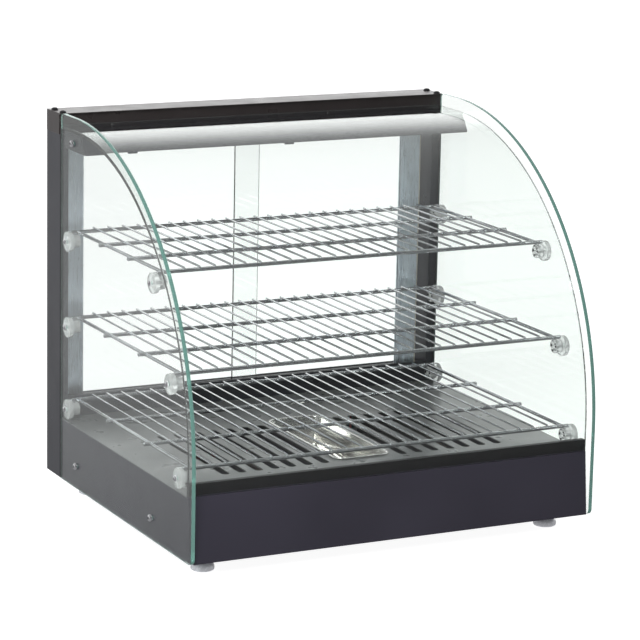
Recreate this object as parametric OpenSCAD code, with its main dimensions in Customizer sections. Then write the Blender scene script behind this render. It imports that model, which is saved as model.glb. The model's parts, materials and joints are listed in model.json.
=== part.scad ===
// Hot food display case for a counter top.
// A black sheet metal base with a heated, slotted deck and a lift-out water tray carries
// two flat side glasses, a curved front glass and a rear frame with two sliding glass doors.
// Three chrome wire shelves rest on clear holders screwed to the side glasses.
// Front faces -Y, +Z is up, the case stands on its feet at z = 0.

/* [Case] */
// Width over the outer faces of the two side glasses
case_w = 554; // [540:2:570]
// Height of the side glass above the bottom of the base
glass_h = 479; // [475:1:485]
// Depth from the front edge of the side glass to the back of the rear frame
case_d = 462; // [460:1:466]
// Thickness of the side and front glass
glass_t = 5; // [4:0.5:6]
// Radius of the curved front edge of the side glass
edge_r = 368; // [360:2:372]
// Distance the curved front glass sits inside the edge of the side glass
front_inset = 12; // [11.5:0.5:13]

/* [Base] */
// Height of the heated deck above the bottom of the base
deck_z = 80.2; // [80.2:0.2:81]
// Number of air slots on each side of the tray
slots_per_side = 7; // [5:1:7]
// Width of one air slot
slot_w = 11; // [8:0.5:12]
// Length of one air slot
slot_len = 194; // [150:1:200]
// Height of the feet
foot_h = 22; // [20:1:28]
// Diameter of the foot pads
foot_d = 29; // [24:1:32]

/* [Water tray] */
// Width of the tray over its rim
tray_w = 78; // [72:1:78]
// Length of the tray over its rim
tray_len = 206; // [180:1:206]
// Depth of the tray below its rim
tray_depth = 40; // [25:1:50]

/* [Shelves] */
// Number of thin wires in one shelf
wire_count = 24; // [16:2:26]
// Diameter of the thin shelf wires
wire_d = 2.6; // [2:0.1:3]
// Diameter of the shelf frame rods
rod_d = 5; // [4:0.5:5]
// Height of the holders of the top shelf
top_shelf_z = 316; // [300:1:330]
// Height of the holders of the middle shelf
mid_shelf_z = 204; // [195:1:220]
// Height of the holders of the bottom shelf
low_shelf_z = 95.5; // [95:0.5:110]

/* [Rear doors] */
// Thickness of the sliding door glass
door_t = 4; // [3:0.5:5]
// Width of one sliding door with its edge profile
door_w = 277; // [270:1:285]
// Gap left between the right door and its post at rest
door_ajar = 10; // [0.5:0.5:20]
// Width of the grip profile on the outer edge of each door
stile_w = 30; // [24:1:34]

/* [Controls] */
// Diameter of the thermostat knob
knob_d = 34; // [28:1:38]
// Resting tilt of the two rocker switches
rocker_tilt = 8; // [5:1:9]

/* [Hidden] */
$fn = 48;
sheet = 1.2;
frame_sheet = 1.5;
gap = 0.3;
half_w = case_w / 2;
glass_in = half_w - glass_t;
inner_x = glass_in - gap;
arc_z = glass_h - edge_r;
frame_y = case_d - 46;
frame_h = glass_h - 1;
base_back = frame_y - gap;
gasket_t = 3.5;
glass_back = frame_y - gasket_t;
post_w = 15;
post_in = half_w - post_w;
beam_h = 27;
beam_z = frame_h - beam_h;
web_y = frame_y + 4;
knob_reach = 14;
overall_d = case_d + knob_reach;
panel_face = case_d - frame_sheet;
front_r_out = edge_r - front_inset - 4;
front_r_in = front_r_out - glass_t;
front_arc_y = front_inset + front_r_out;
front_under = arc_z + front_r_in;
panel_y0 = 3.5;
panel_y1 = front_inset - 0.5;
ledge_z = deck_z + 0.7;
panel_slope = (panel_y1 - panel_y0) / ledge_z;
lip_y = front_inset + glass_t;
lip_top = 95.5;
slot_y = 91;
slot_first = 54.5;
slot_pitch = 22.6;
tray_y = 94;
tray_wall = 0.8;
tray_r = 14;
holder_disc_d = 26;
holder_disc_t = 6.5;
hub_d = 17.4;
hub_t = 10;
back_holder_y = 398;
top_front_y = 127;
mid_front_y = 74;
low_front_y = 46;
shelf_end = inner_x - holder_disc_t - gap;
wire_pitch = 20.3;
hood_y = 336;
hood_z0 = 436;
hood_top = 451;
hood_edge = front_under - gap;
hood_lean = 14;
bracket_back = 405;
lamp_y = 376;
lamp_z = 441;
lamp_left = -205;
lamp_right = 105;
sill_z = 96;
sill_lip = 12;
track_h = 6.5;
track_floor = 1.7;
track_y0 = frame_y + 10;
track_y1 = frame_y + 34;
front_door_y = frame_y + 16;
rear_door_y = frame_y + 28;
track_slot = door_t + 2.6;
door_z0 = sill_z + frame_sheet + track_floor + gap;
door_z1 = beam_z - 4;
stile_t = 9;
left_door_x = gap - post_in;
right_door_x = post_in - door_ajar;
stile_z0 = sill_z + frame_sheet + track_h + gap;
stile_z1 = beam_z - 9 - gap;
stile_slot = 12;
seal_w = 7.5;
seal_lip = 2.5;
knob_x = 150;
control_z = 50;
pilot_x = 96;
power_x = 52;
light_x = 12;
gland_x = -190;
gland_z = 36;
element_z = 45;
element_d = 8;
element_in = 92;
element_out = 178;
cable_d = 3.2;
loom_z = sheet + cable_d / 2 + 0.4;
foot_x = 239;
foot_front_y = 50;
foot_back_y = 405;

// Moves the case so that its footprint is centred and its feet stand at z = 0
module place() {
    translate([0, -overall_d / 2, foot_h]) children();
}

module both_sides() {
    children();
    mirror([1, 0, 0]) children();
}

module block(lo, hi) {
    translate(lo) cube(hi - lo);
}

// Extrudes a (y, z) outline along x
module along_x(x0, x1) {
    translate([x0, 0, 0]) rotate([90, 0, 90]) linear_extrude(x1 - x0) children();
}

module rod_x(x0, x1, y, z, d) {
    translate([x0, y, z]) rotate([0, 90, 0]) cylinder(h = x1 - x0, d = d);
}

module rod_y(x, y0, y1, z, d) {
    translate([x, y0, z]) rotate([-90, 0, 0]) cylinder(h = y1 - y0, d = d);
}

module rounded_2d(x0, y0, x1, y1, r) {
    translate([x0 + r, y0]) square([x1 - x0 - 2 * r, y1 - y0]);
    translate([x0, y0 + r]) square([x1 - x0, y1 - y0 - 2 * r]);
    for (cx = [x0 + r, x1 - r]) {
        for (cy = [y0 + r, y1 - r]) translate([cx, cy]) circle(r);
    }
}

// Dome screw head standing on z = 0 with a hexagon socket
module dome_head(d, h, socket) {
    ball_r = (d * d / 4 + h * h) / (2 * h);
    difference() {
        intersection() {
            translate([0, 0, h - ball_r]) sphere(r = ball_r);
            cylinder(h = h, d = d);
        }
        translate([0, 0, h / 2]) cylinder(h = h, d = socket, $fn = 6);
    }
}

// ---- glass ----

module side_outline() {
    corner = 8;
    back_corner = 5;
    translate([edge_r, arc_z]) intersection() {
        circle(edge_r, $fn = 96);
        translate([-edge_r, 0]) square([edge_r, edge_r]);
    }
    translate([0, corner]) square([glass_back, arc_z - corner]);
    translate([corner, 0]) square([glass_back - corner, arc_z]);
    translate([corner, corner]) circle(corner);
    translate([edge_r, arc_z]) square([glass_back - edge_r, edge_r - back_corner]);
    translate([edge_r, arc_z]) square([glass_back - edge_r - back_corner, edge_r]);
    translate([glass_back - back_corner, glass_h - back_corner]) circle(back_corner);
}

module holder_points(front_y, z) {
    for (y = [front_y, back_holder_y]) translate([0, y, z]) children();
}

module all_holder_points() {
    holder_points(top_front_y, top_shelf_z) children();
    holder_points(mid_front_y, mid_shelf_z) children();
    holder_points(low_front_y, low_shelf_z) children();
}

module glass_screw_points() {
    translate([0, lamp_y - 2, 446]) children();
    translate([0, 360, 29]) children();
    translate([0, 119, 27]) children();
}

module side_glass() {
    difference() {
        along_x(glass_in, half_w) side_outline();
        all_holder_points() rod_x(glass_in - 1, half_w + 1, 0, 0, 5);
        glass_screw_points() rod_x(glass_in - 1, half_w + 1, 0, 0, 5);
    }
}

module left_side_glass() {
    color([0.78, 0.88, 0.86, 0.35]) place() mirror([1, 0, 0]) side_glass();
}

module right_side_glass() {
    color([0.78, 0.88, 0.86, 0.35]) place() side_glass();
}

module frame_gasket() {
    block([glass_in, glass_back, 0], [half_w, frame_y, beam_z + 9]);
}

module frame_gaskets() {
    color([0.05, 0.05, 0.05]) place() both_sides() frame_gasket();
}

module front_outline() {
    translate([front_arc_y, arc_z]) intersection() {
        difference() {
            circle(front_r_out, $fn = 96);
            circle(front_r_in, $fn = 96);
        }
        translate([-edge_r, 0]) square([edge_r, edge_r]);
    }
    translate([front_inset, ledge_z]) square([glass_t, arc_z - ledge_z]);
    translate([front_arc_y, front_under]) square([web_y - gap - front_arc_y, glass_t]);
}

module curved_front_glass() {
    color([0.8, 0.9, 0.88, 0.3]) place() along_x(-inner_x, inner_x) front_outline();
}

// ---- base ----

// Depth of the inner face of the slanted front panel at height z
function panel_back_y(z) = panel_y0 + frame_sheet + panel_slope * z;

module base_side() {
    back_y = base_back;
    wall_top = deck_z - sheet;
    flange_w = 14;
    along_x(glass_in - sheet, glass_in)
        polygon([[panel_back_y(frame_sheet), frame_sheet], [panel_back_y(wall_top), wall_top],
            [back_y, wall_top], [back_y, 0], [20, 0], [20, frame_sheet]]);
    block([glass_in - flange_w, 24, wall_top - sheet], [glass_in - sheet / 2, back_y, wall_top]);
    difference() {
        block([glass_in - flange_w, 24, sheet], [glass_in - sheet / 2, back_y, 2 * sheet]);
        bottom_screw_points() cylinder(h = 8, d = 4, center = true);
    }
}

module base_side_cut() {
    difference() {
        base_side();
        translate([0, 360, 29]) rod_x(glass_in - 5, glass_in + 1, 0, 0, 4);
        translate([0, 119, 27]) rod_x(glass_in - 5, glass_in + 1, 0, 0, 4);
    }
}

module base_shell() {
    color([0.16, 0.16, 0.18]) place() both_sides() base_side_cut();
}

module bottom_screw_points() {
    for (y = [60, 230, 385]) translate([glass_in - 8, y, sheet]) children();
}

module foot_points() {
    for (x = [-foot_x, foot_x]) {
        for (y = [foot_front_y, foot_back_y]) translate([x, y, 0]) children();
    }
}

module vent_field() {
    for (x = [-150 : 30 : 150]) {
        for (y = [70, 290]) translate([x - 3, y]) square([6, 80]);
    }
}

module bottom_plate() {
    plate_x = glass_in - sheet;
    color([0.14, 0.14, 0.16]) place() {
        difference() {
            union() {
                linear_extrude(sheet) difference() {
                    union() {
                        translate([-plate_x, 20]) square([2 * plate_x, base_back - 20]);
                        translate([gap - post_in, base_back - 1])
                            square([2 * post_in - 2 * gap, panel_face - frame_sheet - base_back + 1]);
                    }
                    vent_field();
                }
                block([gap - post_in, panel_face - frame_sheet - sheet, 0],
                    [post_in - gap, panel_face - frame_sheet, 22]);
            }
            foot_points() cylinder(h = 8, d = 6, center = true);
            both_sides() bottom_screw_points() cylinder(h = 8, d = 4, center = true);
            panel_screw_points(14) rod_y(0, -8, 8, 0, 4);
        }
    }
}

module front_panel_outline() {
    t = frame_sheet;
    polygon([[panel_y0, 0], [panel_y1, ledge_z], [lip_y, ledge_z], [lip_y, lip_top],
        [lip_y + 7, lip_top], [lip_y + 7, lip_top - t], [lip_y + t, lip_top - t],
        [lip_y + t, deck_z - sheet], [panel_back_y(deck_z - sheet), deck_z - sheet],
        [panel_back_y(t), t], [20, t], [20, 0]]);
}

module front_panel() {
    color([0.15, 0.14, 0.19]) place() {
        along_x(-inner_x, inner_x) front_panel_outline();
        translate([248, 12, 0]) rotate([180, 0, 0]) dome_head(7, 2, 2.5);
    }
}

module deck_slots_2d() {
    r = slot_w / 2;
    for (i = [0 : slots_per_side - 1]) {
        x = slot_first + i * slot_pitch;
        translate([x - r, slot_y + r]) square([slot_w, slot_len - slot_w]);
        translate([x, slot_y + r]) circle(r, $fn = 24);
        translate([x, slot_y + slot_len - r]) circle(r, $fn = 24);
    }
}

module deck_plate() {
    rim = 3;
    color([0.47, 0.48, 0.49]) place() translate([0, 0, deck_z - sheet]) linear_extrude(sheet)
        difference() {
            translate([-inner_x, lip_y + frame_sheet])
                square([2 * inner_x, base_back - lip_y - frame_sheet]);
            deck_slots_2d();
            mirror([1, 0]) deck_slots_2d();
            rounded_2d(rim - tray_w / 2, tray_y + rim, tray_w / 2 - rim,
                tray_y + tray_len - rim, tray_r - rim);
        }
}

module deck_support() {
    wall_x = 42;
    flange_w = 5;
    under_deck = deck_z - sheet;
    block([wall_x, 62, sheet], [wall_x + sheet, 340, under_deck]);
    block([wall_x, 62, under_deck - sheet], [wall_x + flange_w, 340, under_deck]);
    block([wall_x, 62, sheet], [wall_x + 12, 340, 2 * sheet]);
}

module deck_supports() {
    color([0.3, 0.3, 0.32]) place() both_sides() deck_support();
}

// ---- water tray ----

module water_tray() {
    rim = 3.6;
    rim_t = 1.8;
    rest_z = deck_z + gap;
    pocket_r = tray_r - rim;
    color([0.78, 0.79, 0.8]) place() difference() {
        union() {
            translate([0, 0, rest_z]) linear_extrude(rim_t)
                rounded_2d(-tray_w / 2, tray_y, tray_w / 2, tray_y + tray_len, tray_r);
            translate([0, 0, rest_z - tray_depth]) linear_extrude(tray_depth + rim_t / 2)
                rounded_2d(rim - tray_w / 2, tray_y + rim, tray_w / 2 - rim,
                    tray_y + tray_len - rim, pocket_r);
        }
        translate([0, 0, rest_z - tray_depth + tray_wall]) linear_extrude(tray_depth + rim_t)
            rounded_2d(rim + tray_wall - tray_w / 2, tray_y + rim + tray_wall,
                tray_w / 2 - rim - tray_wall, tray_y + tray_len - rim - tray_wall,
                pocket_r - tray_wall);
    }
}

// ---- rear frame ----

module post() {
    difference() {
        block([post_in, frame_y, 0], [half_w, case_d, beam_z]);
        block([post_in + frame_sheet, frame_y + frame_sheet, -1],
            [half_w - frame_sheet, case_d - frame_sheet, beam_z + 1]);
    }
}

module left_post() {
    color([0.2, 0.21, 0.23]) place() mirror([1, 0, 0]) post();
}

module right_post() {
    color([0.2, 0.21, 0.23]) place() post();
}

module beam_outline() {
    t = frame_sheet;
    translate([frame_y, frame_h - t]) square([case_d - frame_y, t]);
    translate([web_y, beam_z]) square([t, beam_h]);
    translate([web_y, beam_z]) square([case_d - web_y, t]);
    translate([case_d - t, beam_z]) square([t, beam_h]);
}

module top_screw_points() {
    for (x = [-half_w + 6, half_w - 6]) {
        for (y = [frame_y + 6, frame_y + 34]) translate([x, y, frame_h]) children();
    }
}

module lamp_screw_points() {
    for (x = [lamp_left, lamp_right]) translate([x, web_y, hood_edge - 2.7]) children();
}

module top_beam() {
    color([0.13, 0.14, 0.16]) place() difference() {
        union() {
            along_x(-half_w, half_w) beam_outline();
            both_sides() block([half_w - frame_sheet, web_y, beam_z], [half_w, case_d, frame_h]);
        }
        top_screw_points() cylinder(h = 10, d = 3, center = true);
        lamp_screw_points() rod_y(0, -5, 5, 0, 3);
    }
}

module rear_sill() {
    t = frame_sheet;
    color([0.15, 0.16, 0.18]) place() difference() {
        along_x(-post_in, post_in) {
            translate([frame_y, deck_z - sheet]) square([t, sill_z + sill_lip - deck_z + sheet]);
            translate([frame_y, sill_z]) square([case_d - frame_y, t]);
            translate([case_d - t, sill_z - 14]) square([t, 14 + t]);
        }
        panel_screw_points(sill_z - 7) rod_y(0, -8, 8, 0, 4);
    }
}

module track_outline(h) {
    difference() {
        translate([track_y0, 0]) square([track_y1 - track_y0, h]);
        for (y = [front_door_y, rear_door_y]) {
            translate([y - track_slot / 2, track_floor]) square([track_slot, h]);
        }
    }
}

module lower_door_track() {
    color([0.2, 0.2, 0.22]) place()
        along_x(-post_in, post_in) translate([0, sill_z + frame_sheet]) track_outline(track_h);
}

module upper_door_track() {
    color([0.2, 0.2, 0.22]) place()
        along_x(-post_in, post_in) translate([0, beam_z]) mirror([0, 1]) track_outline(9);
}

// ---- rear doors ----

// Glass of a door whose outer edge lies at x = 0 and which runs towards +x
module door_glass(y) {
    block([stile_w - stile_slot, y - door_t / 2, door_z0], [door_w, y + door_t / 2, door_z1]);
}

// Full-height grip profile that holds the outer edge of the door glass
module door_stile(y) {
    half = stile_t / 2;
    inset = 4.5;
    difference() {
        block([seal_lip, y - half, stile_z0], [stile_w, y + half, stile_z1]);
        block([stile_w - stile_slot, y - door_t / 2, stile_z0 - 1],
            [stile_w + 1, y + door_t / 2, stile_z1 + 1]);
        block([10, y + half - 3, stile_z0 + 20], [stile_w - 8, y + half + 1, stile_z1 - 20]);
        block([stile_w - inset, y - half - 1, stile_z0 - 1],
            [stile_w - inset + 1, y - half + 0.7, stile_z1 + 1]);
        block([-1, y - half + 1.2, stile_z0 - 1], [seal_w, y + half - 1.2, stile_z1 + 1]);
    }
}

// Soft strip set into the outer edge of the grip profile, standing proud of it by seal_lip
module door_seal(y) {
    half = stile_t / 2 - 1.2;
    block([0, y - half, stile_z0], [seal_w, y + half, stile_z1]);
}

module at_left_door() {
    translate([left_door_x, 0, 0]) children();
}

module at_right_door() {
    translate([right_door_x, 0, 0]) mirror([1, 0, 0]) children();
}

module left_rear_door() {
    color([0.8, 0.9, 0.9, 0.3]) place() at_left_door() door_glass(rear_door_y);
}

module right_rear_door() {
    color([0.8, 0.9, 0.9, 0.3]) place() at_right_door() door_glass(front_door_y);
}

module left_door_stile() {
    color([0.6, 0.64, 0.68]) place() at_left_door() door_stile(rear_door_y);
}

module right_door_stile() {
    color([0.6, 0.64, 0.68]) place() at_right_door() door_stile(front_door_y);
}

module left_door_seal() {
    color([0.6, 0.6, 0.54]) place() at_left_door() door_seal(rear_door_y);
}

module right_door_seal() {
    color([0.6, 0.6, 0.54]) place() at_right_door() door_seal(front_door_y);
}

// ---- lamp ----

// Depth of the leaning front face of the hood at height z
function hood_front_y(z) = hood_y + hood_lean * (z - hood_z0) / (hood_edge - hood_z0);

module lamp_hood() {
    hood_x = glass_in - frame_sheet;
    top_y = hood_front_y(hood_top);
    color([0.14, 0.15, 0.15]) place() difference() {
        union() {
            along_x(-hood_x, hood_x) {
                polygon([[hood_y, hood_z0], [hood_y + hood_lean, hood_edge],
                    [hood_y + hood_lean + sheet, hood_edge], [hood_y + sheet, hood_z0]]);
                translate([hood_y, hood_z0]) square([9, sheet]);
                translate([top_y + sheet / 2, hood_top]) square([web_y - top_y - sheet / 2, sheet]);
                translate([web_y - sheet, hood_top]) square([sheet, hood_edge - hood_top]);
            }
            for (x = [-211, 8]) block([x - 6, hood_y, hood_z0 - 2], [x + 6, hood_y + 4, hood_z0]);
        }
        lamp_screw_points() rod_y(0, -5, 5, 0, 3);
    }
}

module lamp_bracket() {
    behind = 2 * sheet;
    plate_y = hood_y + behind;
    difference() {
        along_x(glass_in - frame_sheet, glass_in)
            polygon([[plate_y, hood_z0], [plate_y + hood_lean, hood_edge],
                [bracket_back, hood_edge], [bracket_back, hood_z0]]);
        translate([0, lamp_y - 2, 446]) rod_x(glass_in - 5, glass_in + 1, 0, 0, 4);
    }
    along_x(glass_in - 12, glass_in)
        polygon([[hood_front_y(hood_z0 + sheet) + sheet + 0.1, hood_z0 + sheet],
            [hood_front_y(hood_top) + sheet + 0.1, hood_top],
            [hood_front_y(hood_top) + behind + 0.1, hood_top],
            [hood_front_y(hood_z0 + sheet) + behind + 0.1, hood_z0 + sheet]]);
}

module left_lamp_bracket() {
    color([0.16, 0.17, 0.17]) place() mirror([1, 0, 0]) lamp_bracket();
}

module right_lamp_bracket() {
    color([0.16, 0.17, 0.17]) place() lamp_bracket();
}

module lamp_holders() {
    color([0.9, 0.89, 0.85]) place() {
        block([lamp_left - 14, lamp_y - 9, lamp_z - 9], [lamp_left, lamp_y + 9, hood_top]);
        block([lamp_right, lamp_y - 9, lamp_z - 9], [lamp_right + 14, lamp_y + 9, hood_top]);
    }
}

module lamp_tube() {
    cap = 10;
    color([0.96, 0.93, 0.82]) place() {
        rod_x(lamp_left, lamp_left + cap, lamp_y, lamp_z, 12);
        rod_x(lamp_left + cap, lamp_right - cap, lamp_y, lamp_z, 10);
        rod_x(lamp_right - cap, lamp_right, lamp_y, lamp_z, 12);
    }
}

// ---- shelf holders ----

module shelf_holder() {
    hub_x = glass_in - holder_disc_t - hub_t;
    boss_d = 8;
    pockets = 6;
    difference() {
        union() {
            rod_x(glass_in - holder_disc_t, glass_in, 0, 0, holder_disc_d);
            rod_x(hub_x, glass_in - holder_disc_t + 1, 0, 0, hub_d);
        }
        for (i = [0 : pockets - 1]) {
            rotate([i * 360 / pockets, 0, 0]) rod_x(hub_x - 1, hub_x + 8, 5.9, 0, 3);
        }
        rod_x(hub_x + 4, glass_in + 1, 0, 0, 4);
    }
}

module left_shelf_holders() {
    color([0.86, 0.88, 0.88, 0.5]) place() mirror([1, 0, 0]) all_holder_points() shelf_holder();
}

module right_shelf_holders() {
    color([0.86, 0.88, 0.88, 0.5]) place() all_holder_points() shelf_holder();
}

module holder_screws() {
    seat = half_w + 0.8;
    color([0.8, 0.8, 0.82]) place() both_sides() all_holder_points() {
        rod_x(glass_in - 12, seat + 0.2, 0, 0, 4);
        translate([seat, 0, 0]) rotate([0, 90, 0]) dome_head(6.6, 2.2, 2.5);
    }
}

module holder_washers() {
    color([0.85, 0.87, 0.88]) place() both_sides() all_holder_points() difference() {
        rod_x(half_w, half_w + 0.8, 0, 0, 9.5);
        rod_x(half_w - 1, half_w + 2, 0, 0, 4);
    }
}

module glass_screws() {
    color([0.75, 0.75, 0.77]) place() both_sides() glass_screw_points() {
        rod_x(glass_in - 4, half_w + 0.2, 0, 0, 4);
        translate([half_w, 0, 0]) rotate([0, 90, 0]) dome_head(9.5, 3.8, 3.5);
    }
}

module top_screws() {
    color([0.07, 0.07, 0.08]) place() top_screw_points() {
        translate([0, 0, -4]) cylinder(h = 4.2, d = 3);
        dome_head(9, 3, 3.5);
    }
}

module lamp_screws() {
    color([0.8, 0.8, 0.82]) place() lamp_screw_points() {
        rod_y(0, -sheet - 0.2, 4, 0, 3);
        translate([0, -sheet, 0]) rotate([90, 0, 0]) dome_head(5, 1.8, 2);
    }
}

// ---- shelves ----

// Wire shelf: cross rods and side rods carry a row of thin wires that run front to back
module wire_shelf(front_y, holder_z) {
    rod_z = holder_z + hub_d / 2 + gap + rod_d / 2;
    wire_z = rod_z + rod_d / 2 + wire_d / 2 - 0.4;
    span = back_holder_y - front_y;
    side_x = shelf_end - 9;
    first = -wire_pitch * (wire_count - 1) / 2;
    for (k = [0 : 3]) rod_x(-shelf_end, shelf_end, front_y + k * span / 3, rod_z, rod_d);
    for (x = [-side_x, side_x]) rod_y(x, front_y - 1, back_holder_y + 1, rod_z, rod_d - 0.6);
    for (i = [0 : wire_count - 1]) {
        rod_y(first + i * wire_pitch, front_y - 0.5, back_holder_y + 5, wire_z, wire_d);
    }
}

module top_shelf() {
    color([0.82, 0.83, 0.84]) place() wire_shelf(top_front_y, top_shelf_z);
}

module middle_shelf() {
    color([0.82, 0.83, 0.84]) place() wire_shelf(mid_front_y, mid_shelf_z);
}

module bottom_shelf() {
    color([0.82, 0.83, 0.84]) place() wire_shelf(low_front_y, low_shelf_z);
}

// ---- feet and base fixings ----

module foot() {
    pad = 4;
    dome = 7;
    ball_r = (foot_d * foot_d / 4 + dome * dome) / (2 * dome);
    translate([0, 0, -foot_h]) {
        cylinder(h = pad, d = foot_d);
        translate([0, 0, pad]) intersection() {
            translate([0, 0, dome - ball_r]) sphere(r = ball_r, $fn = 64);
            cylinder(h = dome, d = foot_d);
        }
    }
    translate([0, 0, 5 - foot_h]) cylinder(h = foot_h - 5, d = 10);
    translate([0, 0, -1]) cylinder(h = 8, d = 6);
    translate([0, 0, sheet]) cylinder(h = 4.5, d = 11.5, $fn = 6);
}

module feet() {
    color([0.8, 0.8, 0.82]) place() foot_points() foot();
}

module bottom_screws() {
    color([0.7, 0.7, 0.72]) place() both_sides() bottom_screw_points() {
        translate([0, 0, -sheet - 0.2]) cylinder(h = 4.5, d = 4);
        translate([0, 0, -sheet]) rotate([180, 0, 0]) dome_head(7, 2, 2.5);
    }
}

module panel_screw_points(z) {
    for (x = [22 - post_in, post_in - 22]) translate([x, panel_face, z]) children();
}

module panel_screws() {
    color([0.72, 0.72, 0.74]) place() {
        panel_screw_points(14) {
            rod_y(0, -5, 0.2, 0, 4);
            rotate([-90, 0, 0]) dome_head(7.5, 2, 2.5);
        }
        panel_screw_points(sill_z - 7) translate([0, frame_sheet, 0]) {
            rod_y(0, -6.5, 0.2, 0, 4);
            rotate([-90, 0, 0]) dome_head(7.5, 2, 2.5);
        }
    }
}

// ---- heating ----

module heating_element() {
    bend_r = (element_out - element_in) / 2;
    bend_y = 70 + bend_r;
    rear_y = 345;
    for (x = [element_in, element_out]) {
        rod_y(x, bend_y, rear_y, element_z, element_d);
        rod_y(x, rear_y - 1, rear_y + 12, element_z, 13);
        rod_y(x, rear_y + 11, rear_y + 22, element_z, 4);
    }
    translate([element_in + bend_r, bend_y, element_z]) rotate([0, 0, 180])
        rotate_extrude(angle = 180) translate([bend_r, 0]) circle(d = element_d, $fn = 32);
}

module left_heating_element() {
    color([0.42, 0.4, 0.38]) place() mirror([1, 0, 0]) heating_element();
}

module right_heating_element() {
    color([0.42, 0.4, 0.38]) place() heating_element();
}

module element_bracket(y) {
    side = 10;
    difference() {
        block([element_in - side, y, sheet], [element_out + side, y + sheet, element_z + side]);
        block([element_in + side, y - 1, 14], [element_out - side, y + 3, element_z + side + 1]);
        for (x = [element_in, element_out]) rod_y(x, y - 1, y + 3, element_z, element_d);
    }
    block([element_in - side, y, sheet], [element_out + side, y + 12, 2 * sheet]);
}

module element_brackets() {
    color([0.6, 0.6, 0.62]) place() both_sides() {
        element_bracket(150);
        element_bracket(310);
    }
}

// ---- wiring parts ----

module terminal_block() {
    block_w = 56;
    color([0.88, 0.87, 0.83]) place() difference() {
        block([gland_x + 18, 395, sheet], [gland_x + 18 + block_w, 417, sheet + 16]);
        for (i = [0 : 3]) {
            translate([gland_x + 26 + i * 13.3, 406, sheet + 8]) cylinder(h = 10, d = 6);
        }
    }
}

module cable_gland() {
    color([0.1, 0.1, 0.1]) place() difference() {
        union() {
            rod_y(gland_x, panel_face - 6, panel_face + 6, gland_z, 15.4);
            translate([gland_x, panel_face, gland_z]) rotate([-90, 0, 0])
                cylinder(h = 5, d = 24, $fn = 6);
            rod_y(gland_x, panel_face + 5, panel_face + 11, gland_z, 18);
            translate([gland_x, panel_face - frame_sheet - 5, gland_z]) rotate([-90, 0, 0])
                cylinder(h = 5, d = 24, $fn = 6);
        }
        rod_y(gland_x, panel_face - 10, panel_face + 15, gland_z, 8);
    }
}

// Crimped joint or bend in a wire
module wire_joint(x, y, z) {
    translate([x, y, z]) sphere(d = cable_d + 0.8, $fn = 24);
}

module wire_y(x, y0, y1, z) {
    rod_y(x, y0, y1, z, cable_d);
}

// Wire that climbs from the floor at (x, y), then runs back to a terminal
module riser(x, y, back_y) {
    translate([x, y, loom_z]) cylinder(h = control_z - loom_z, d = cable_d);
    wire_joint(x, y, loom_z);
    wire_joint(x, y, control_z);
    wire_y(x, y, back_y, control_z);
}

module wiring_loom() {
    block_x = gland_x + 18;
    block_y = 417;
    switch_x = block_x + 20;
    switch_y = 426;
    heat_x = block_x + 34;
    heat_y = 421;
    color([0.7, 0.15, 0.12]) place() {
        wire_y(switch_x, block_y, switch_y, loom_z);
        wire_joint(switch_x, switch_y, loom_z);
        rod_x(switch_x, power_x, switch_y, loom_z, cable_d);
        for (x = [power_x, light_x]) riser(x, switch_y, panel_face - frame_sheet - 24);
        wire_y(heat_x, block_y, heat_y, loom_z);
        wire_joint(heat_x, heat_y, loom_z);
        rod_x(heat_x, knob_x, heat_y, loom_z, cable_d);
        riser(knob_x, heat_y, panel_face - frame_sheet - 30);
    }
}

// ---- rear controls ----

module rear_panel() {
    inner = panel_face - frame_sheet;
    color([0.16, 0.16, 0.18]) place() difference() {
        block([gap - post_in, inner, 1.5], [post_in - gap, panel_face, sill_z - 0.2]);
        rod_y(knob_x, inner - 1, panel_face + 1, control_z, 12);
        rod_y(gland_x, inner - 1, panel_face + 1, gland_z, 15.4);
        rod_y(pilot_x, inner - 1, panel_face + 1, control_z, 9);
        for (x = [power_x, light_x]) {
            block([x - 10, inner - 1, control_z - 14], [x + 10, panel_face + 1, control_z + 14]);
        }
        panel_screw_points(14) rod_y(0, -8, 8, 0, 4);
        panel_screw_points(sill_z - 7) rod_y(0, -8, 8, 0, 4);
    }
}

module thermostat_body() {
    inner = panel_face - frame_sheet;
    color([0.75, 0.74, 0.7]) place() difference() {
        block([knob_x - 19, inner - 30, control_z - 19], [knob_x + 19, inner, control_z + 19]);
        rod_y(knob_x, inner - 14, inner + 1, control_z, 6.1);
    }
}

module thermostat_shaft() {
    inner = panel_face - frame_sheet;
    color([0.75, 0.75, 0.77]) place()
        rod_y(knob_x, inner - 13, case_d + knob_reach - 4, control_z, 6);
}

module thermostat_knob() {
    knob_y = panel_face + frame_sheet + gap;
    skirt = 4;
    grip_d = knob_d - 10;
    flutes = 16;
    tip = case_d + knob_reach;
    color([0.08, 0.08, 0.09]) place() difference() {
        union() {
            rod_y(knob_x, knob_y, knob_y + skirt, control_z, knob_d);
            difference() {
                rod_y(knob_x, knob_y, tip, control_z, grip_d);
                for (i = [0 : flutes - 1]) {
                    translate([knob_x, 0, control_z]) rotate([0, i * 360 / flutes, 0])
                        rod_y(grip_d / 2 + 0.6, knob_y + skirt, tip + 1, 0, 3);
                }
            }
            translate([knob_x, 0, control_z]) block([-1, knob_y, grip_d / 2 - 1],
                [1, knob_y + skirt + 1, knob_d / 2 - 0.5]);
        }
        rod_y(knob_x, knob_y - 1, case_d + knob_reach - 4, control_z, 6);
    }
}

module dial_ring() {
    ring_d = 54;
    ring_bore = 14;
    marks = 10;
    color([0.82, 0.83, 0.84]) place() {
        difference() {
            rod_y(knob_x, panel_face, panel_face + 1, control_z, ring_d);
            rod_y(knob_x, panel_face - 1, panel_face + 2, control_z, ring_bore);
        }
        translate([knob_x, panel_face, control_z]) for (i = [0 : marks - 1]) {
            rotate([0, i * 27, 0]) block([-0.5, 0.8, 19], [0.5, 1.4, 24]);
        }
    }
}

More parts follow.
